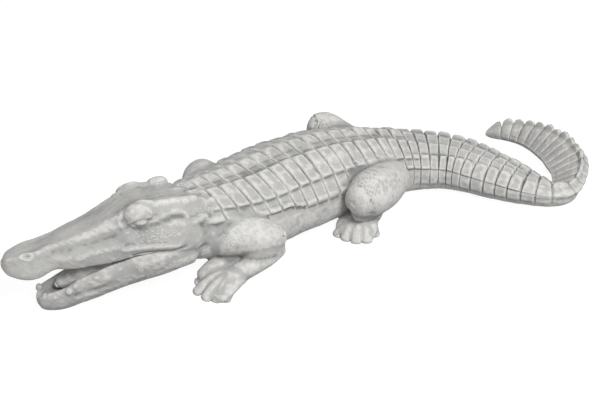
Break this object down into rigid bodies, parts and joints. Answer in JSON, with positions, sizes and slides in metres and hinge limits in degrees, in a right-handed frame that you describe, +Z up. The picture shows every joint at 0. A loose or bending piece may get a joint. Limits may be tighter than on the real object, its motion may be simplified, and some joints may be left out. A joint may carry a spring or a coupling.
{
  "type": "crocodile statue",
  "caption": "Cast stone crocodile lying on flat ground with its mouth open, rows of raised plates along the back and a tail hooked round to one side.",
  "frame": {"origin": "middle of the bounding box, at the ground", "axes": "+Z up, -X towards the snout, +X towards the hook of the tail"},
  "size_m": [0.8964, 0.2742, 0.1443],
  "materials": {
    "cast_stone": "dry matt cast stone, light warm grey, paler on raised edges and darker in the grooves"
  },
  "bodies": {
    "root": {"crocodile": "cast_stone"}
  },
  "joints": []
}
